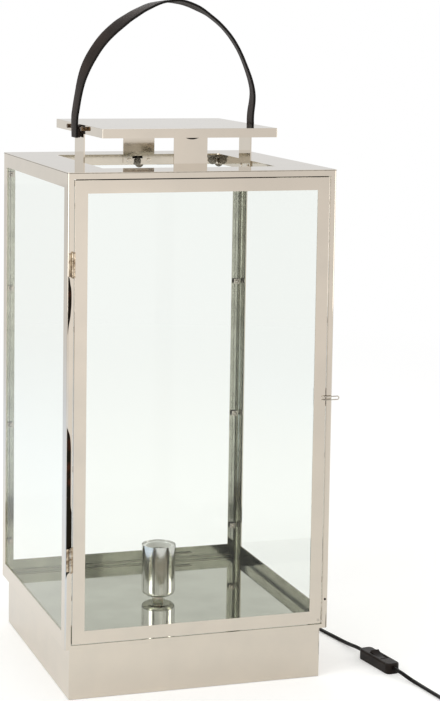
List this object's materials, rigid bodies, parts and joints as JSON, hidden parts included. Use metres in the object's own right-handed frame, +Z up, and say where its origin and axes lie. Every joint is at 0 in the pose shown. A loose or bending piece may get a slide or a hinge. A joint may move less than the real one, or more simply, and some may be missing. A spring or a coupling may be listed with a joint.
{
  "type": "lantern table lamp",
  "caption": "Square metal and glass lantern on a plinth with a hinged glazed door, raised roof plate, leather carrying strap, lampholder, and a cord with an inline rocker switch.",
  "frame": {"origin": "middle of the underside of the base felt, on the table", "axes": "+Z up; the hinged door faces -Y, its hinges are at -X; the strap runs along X"},
  "size_m": [0.4802, 0.5174, 0.7449],
  "materials": {
    "polished_steel": "polished nickel-plated steel sheet",
    "bright_steel": "bright nickel-plated small parts",
    "glass": "clear float glass",
    "felt": "black pressed felt",
    "leather": "dark brown waxed leather",
    "brass": "aged brass",
    "nickel_shell": "rolled shell",
    "porcelain": "pale grey insulating insert",
    "cream_plastic": "cream insulating washers",
    "black_cable": "black PVC sheath",
    "black_plastic": "black moulded plastic"
  },
  "bodies": {
    "case": {"base_felt": "felt", "bottom_cover": "bright_steel", "bottom_rail_back": "polished_steel", "bottom_rail_left": "polished_steel", "bottom_rail_right": "polished_steel", "centre_contact": "brass", "cord_back": "black_cable", "cord_coil": "black_cable", "cord_front": "black_cable", "cord_gland": "black_cable", "cover_screws": "bright_steel", "floor_plate": "polished_steel", "front_fascia": "polished_steel", "front_sill": "polished_steel", "hinge_pins": "bright_steel", "hinge_post_leaves": "bright_steel", "holder_collars": "cream_plastic", "holder_insert": "porcelain", "holder_nipple": "bright_steel", "holder_nuts": "bright_steel", "inner_cable": "black_cable", "lampholder_cup": "polished_steel", "leather_strap": "leather", "magnet_catch": "polished_steel", "pane_back": "glass", "pane_clips": "bright_steel", "pane_left": "glass", "pane_right": "glass", "plinth_skirt": "polished_steel", "plug_body": "black_plastic", "plug_pins": "brass", "post_back_left": "polished_steel", "post_back_right": "polished_steel", "post_front_left": "polished_steel", "post_front_right": "polished_steel", "rail_clips": "brass", "rim_plate": "polished_steel", "roof_plate": "polished_steel", "screw_shell": "nickel_shell", "strap_mounts": "brass", "strap_tabs": "leather", "switch_base": "black_plastic", "switch_cover": "black_plastic", "switch_screws": "bright_steel", "top_rail_back": "polished_steel", "top_rail_left": "polished_steel", "top_rail_right": "polished_steel", "upright_back": "polished_steel", "upright_front": "polished_steel", "upright_left": "polished_steel", "upright_right": "polished_steel", "upright_rivets": "bright_steel"},
    "door": {"door_frame": "polished_steel", "door_glass": "glass", "door_glass_clips": "bright_steel", "hinge_door_leaves": "bright_steel", "door_hinge_rivets": "bright_steel", "door_pull": "bright_steel", "striker_plate": "polished_steel"},
    "rocker": {"switch_rocker": "black_plastic"}
  },
  "joints": [
    {"name": "door_hinge", "type": "hinge", "parent": "case", "child": "door", "pos_m": [-0.1444, -0.1524, 0.31], "axis": [0, 0, -1], "range_deg": [0, 110]},
    {"name": "switch_tilt", "type": "hinge", "parent": "case", "child": "rocker", "pos_m": [0.2231, -0.1283, 0.0076], "axis": [-0.9916, -0.1296, 0], "range_deg": [0, 16]}
  ]
}
